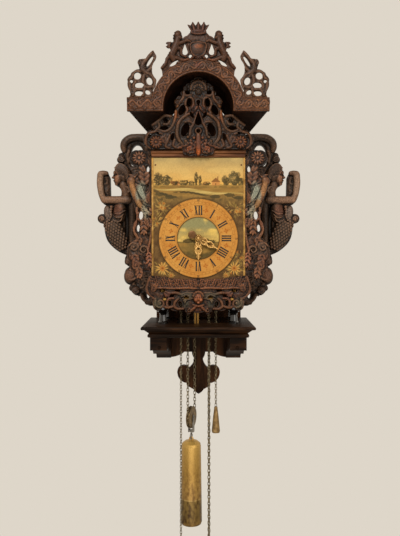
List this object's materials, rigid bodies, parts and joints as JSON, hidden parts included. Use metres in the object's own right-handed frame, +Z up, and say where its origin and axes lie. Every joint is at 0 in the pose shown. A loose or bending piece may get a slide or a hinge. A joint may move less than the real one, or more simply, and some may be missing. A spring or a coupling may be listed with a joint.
{
  "type": "chair clock",
  "caption": "Weight-driven hooded wall clock standing on a carved chair, with pierced frets, painted dial, side doors, striking work, alarm, endless chain and weights.",
  "frame": {"origin": "on the wall plane, on the centre line, level with the top of the seat", "axes": "+Z up, the dial faces -Y, +X to the viewer's right"},
  "size_m": [0.42, 0.22, 1.011],
  "materials": {
    "dark_wood": "matt",
    "walnut": "satin",
    "steel": "satin",
    "painted_casting": "matt",
    "dial_paint": "satin",
    "ring_paint": "satin",
    "black_turning": "gloss",
    "brass": "aged",
    "bell_metal": "aged",
    "chain_brass": "aged",
    "old_brass": "patinated",
    "lead": "matt"
  },
  "bodies": {
    "chair": {"backboard": "dark_wood", "hanging_plate": "steel", "seat_board": "walnut", "seat_moulding": "walnut", "bracket_left": "walnut", "bracket_right": "walnut", "hood_front": "walnut", "hood_vault": "dark_wood", "hood_soffit_left": "dark_wood", "hood_soffit_right": "dark_wood", "crest_centre": "walnut", "crest_corner_left": "walnut", "crest_corner_right": "walnut", "mermaid_left": "walnut", "mermaid_right": "walnut", "movement_feet": "black_turning", "frame_bottom_plate": "brass", "frame_top_plate": "brass", "frame_pillars": "brass", "strap_front": "brass", "strap_middle": "brass", "strap_back": "brass", "strap_feet": "brass", "dial_plate": "dial_paint", "dial_edges": "brass", "top_rail": "painted_casting", "chapter_ring": "ring_paint", "top_fret": "painted_casting", "bottom_fret": "painted_casting", "side_fret_left": "painted_casting", "side_fret_right": "painted_casting", "bell": "bell_metal", "bell_stand": "brass", "pendulum_cock": "steel", "weight_chains": "chain_brass"},
    "going_train": {"great_wheel": "brass"},
    "minute_arbor": {"centre_wheel": "brass", "minute_hand": "brass"},
    "hour_hand_body": {"hour_hand": "brass"},
    "alarm_setting": {"alarm_disc": "dial_paint"},
    "third_arbor": {"contrate_wheel": "brass"},
    "escape_arbor": {"crown_wheel": "brass"},
    "pendulum_body": {"pendulum": "brass"},
    "verge_body": {"verge": "steel"},
    "strike_train": {"strike_wheel": "brass"},
    "fly_body": {"fly": "steel"},
    "hammer_body": {"hammer": "steel"},
    "alarm_pulley_body": {"alarm_pulley": "brass"},
    "left_door": {"door_left": "brass"},
    "right_door": {"door_right": "brass"},
    "weight_body": {"shackle": "steel", "weight": "old_brass", "pulley_chain": "chain_brass"},
    "sheave_body": {"sheave": "brass"},
    "ring_body": {"ring_chains": "chain_brass", "tension_ring": "lead"},
    "alarm_weight_body": {"alarm_chain": "chain_brass", "alarm_weight": "lead"},
    "cone_body": {"cone_chain": "chain_brass", "cone_weight": "old_brass"}
  },
  "joints": [
    {"name": "great_wheel_turn", "type": "hinge", "parent": "chair", "child": "going_train", "pos_m": [0, -0.118, 0.115], "axis": [0, 1, 0], "continuous": true},
    {"name": "minute_hand_turn", "type": "hinge", "parent": "chair", "child": "minute_arbor", "pos_m": [0, -0.15, 0.158], "axis": [0, 1, 0], "continuous": true},
    {"name": "hour_hand_turn", "type": "hinge", "parent": "chair", "child": "hour_hand_body", "pos_m": [0, -0.165, 0.158], "axis": [0, 1, 0], "continuous": true},
    {"name": "alarm_disc_turn", "type": "hinge", "parent": "hour_hand_body", "child": "alarm_setting", "pos_m": [0, -0.166, 0.158], "axis": [0, 1, 0], "continuous": true},
    {"name": "contrate_turn", "type": "hinge", "parent": "chair", "child": "third_arbor", "pos_m": [0, -0.137, 0.196], "axis": [0, 1, 0], "continuous": true},
    {"name": "crown_wheel_turn", "type": "hinge", "parent": "chair", "child": "escape_arbor", "pos_m": [0, -0.12883, 0.24], "axis": [0, 0, 1], "continuous": true},
    {"name": "pendulum_swing", "type": "hinge", "parent": "chair", "child": "pendulum_body", "pos_m": [0, -0.033, 0.278], "axis": [0, 1, 0], "range_deg": [-4, 4]},
    {"name": "verge_rock", "type": "hinge", "parent": "chair", "child": "verge_body", "pos_m": [0, -0.1, 0.278], "axis": [0, 1, 0], "range_deg": [-4, 4]},
    {"name": "strike_wheel_turn", "type": "hinge", "parent": "chair", "child": "strike_train", "pos_m": [0.0064, -0.082, 0.115], "axis": [0, 1, 0], "continuous": true},
    {"name": "fly_turn", "type": "hinge", "parent": "chair", "child": "fly_body", "pos_m": [0.0064, -0.07, 0.158], "axis": [0, 1, 0], "continuous": true},
    {"name": "hammer_lift", "type": "hinge", "parent": "chair", "child": "hammer_body", "pos_m": [-0.052, -0.1, 0.284], "axis": [0, 1, 0], "range_deg": [-5, 0]},
    {"name": "alarm_pulley_turn", "type": "hinge", "parent": "chair", "child": "alarm_pulley_body", "pos_m": [0, -0.134, 0.115], "axis": [0, 1, 0], "range_deg": [0, 176]},
    {"name": "left_door_swing", "type": "hinge", "parent": "chair", "child": "left_door", "pos_m": [-0.0765, -0.0495, 0.17], "axis": [0, 0, -1], "range_deg": [0, 75]},
    {"name": "right_door_swing", "type": "hinge", "parent": "chair", "child": "right_door", "pos_m": [0.0765, -0.0495, 0.17], "axis": [0, 0, 1], "range_deg": [0, 75]},
    {"name": "weight_rise", "type": "slide", "parent": "chair", "child": "weight_body", "axis": [0, 0, 1], "range_m": [0, 0.1], "deforming": ["weight_chains"]},
    {"name": "sheave_turn", "type": "hinge", "parent": "weight_body", "child": "sheave_body", "pos_m": [-0.014, -0.1, -0.187], "axis": [0.9422, -0.335, 0], "range_deg": [0, 305]},
    {"name": "ring_drop", "type": "slide", "parent": "chair", "child": "ring_body", "axis": [0, 0, -1], "range_m": [0, 0.1]},
    {"name": "alarm_weight_rise", "type": "slide", "parent": "chair", "child": "alarm_weight_body", "axis": [0, 0, 1], "range_m": [0, 0.1]},
    {"name": "cone_drop", "type": "slide", "parent": "chair", "child": "cone_body", "axis": [0, 0, -1], "range_m": [0, 0.1]}
  ],
  "couplings": [
    {"joint": "minute_hand_turn", "follows": "great_wheel_turn", "ratio": -8},
    {"joint": "hour_hand_turn", "follows": "great_wheel_turn", "ratio": -0.66667},
    {"joint": "contrate_turn", "follows": "great_wheel_turn", "ratio": 60},
    {"joint": "crown_wheel_turn", "follows": "great_wheel_turn", "ratio": 360},
    {"joint": "verge_rock", "follows": "pendulum_swing", "ratio": 1},
    {"joint": "fly_turn", "follows": "strike_wheel_turn", "ratio": -8},
    {"joint": "sheave_turn", "follows": "weight_rise", "rad_per_m": 52.346},
    {"joint": "ring_drop", "follows": "weight_rise", "ratio": 1},
    {"joint": "alarm_pulley_turn", "follows": "alarm_weight_rise", "rad_per_m": 30.303},
    {"joint": "cone_drop", "follows": "alarm_weight_rise", "ratio": 1}
  ]
}
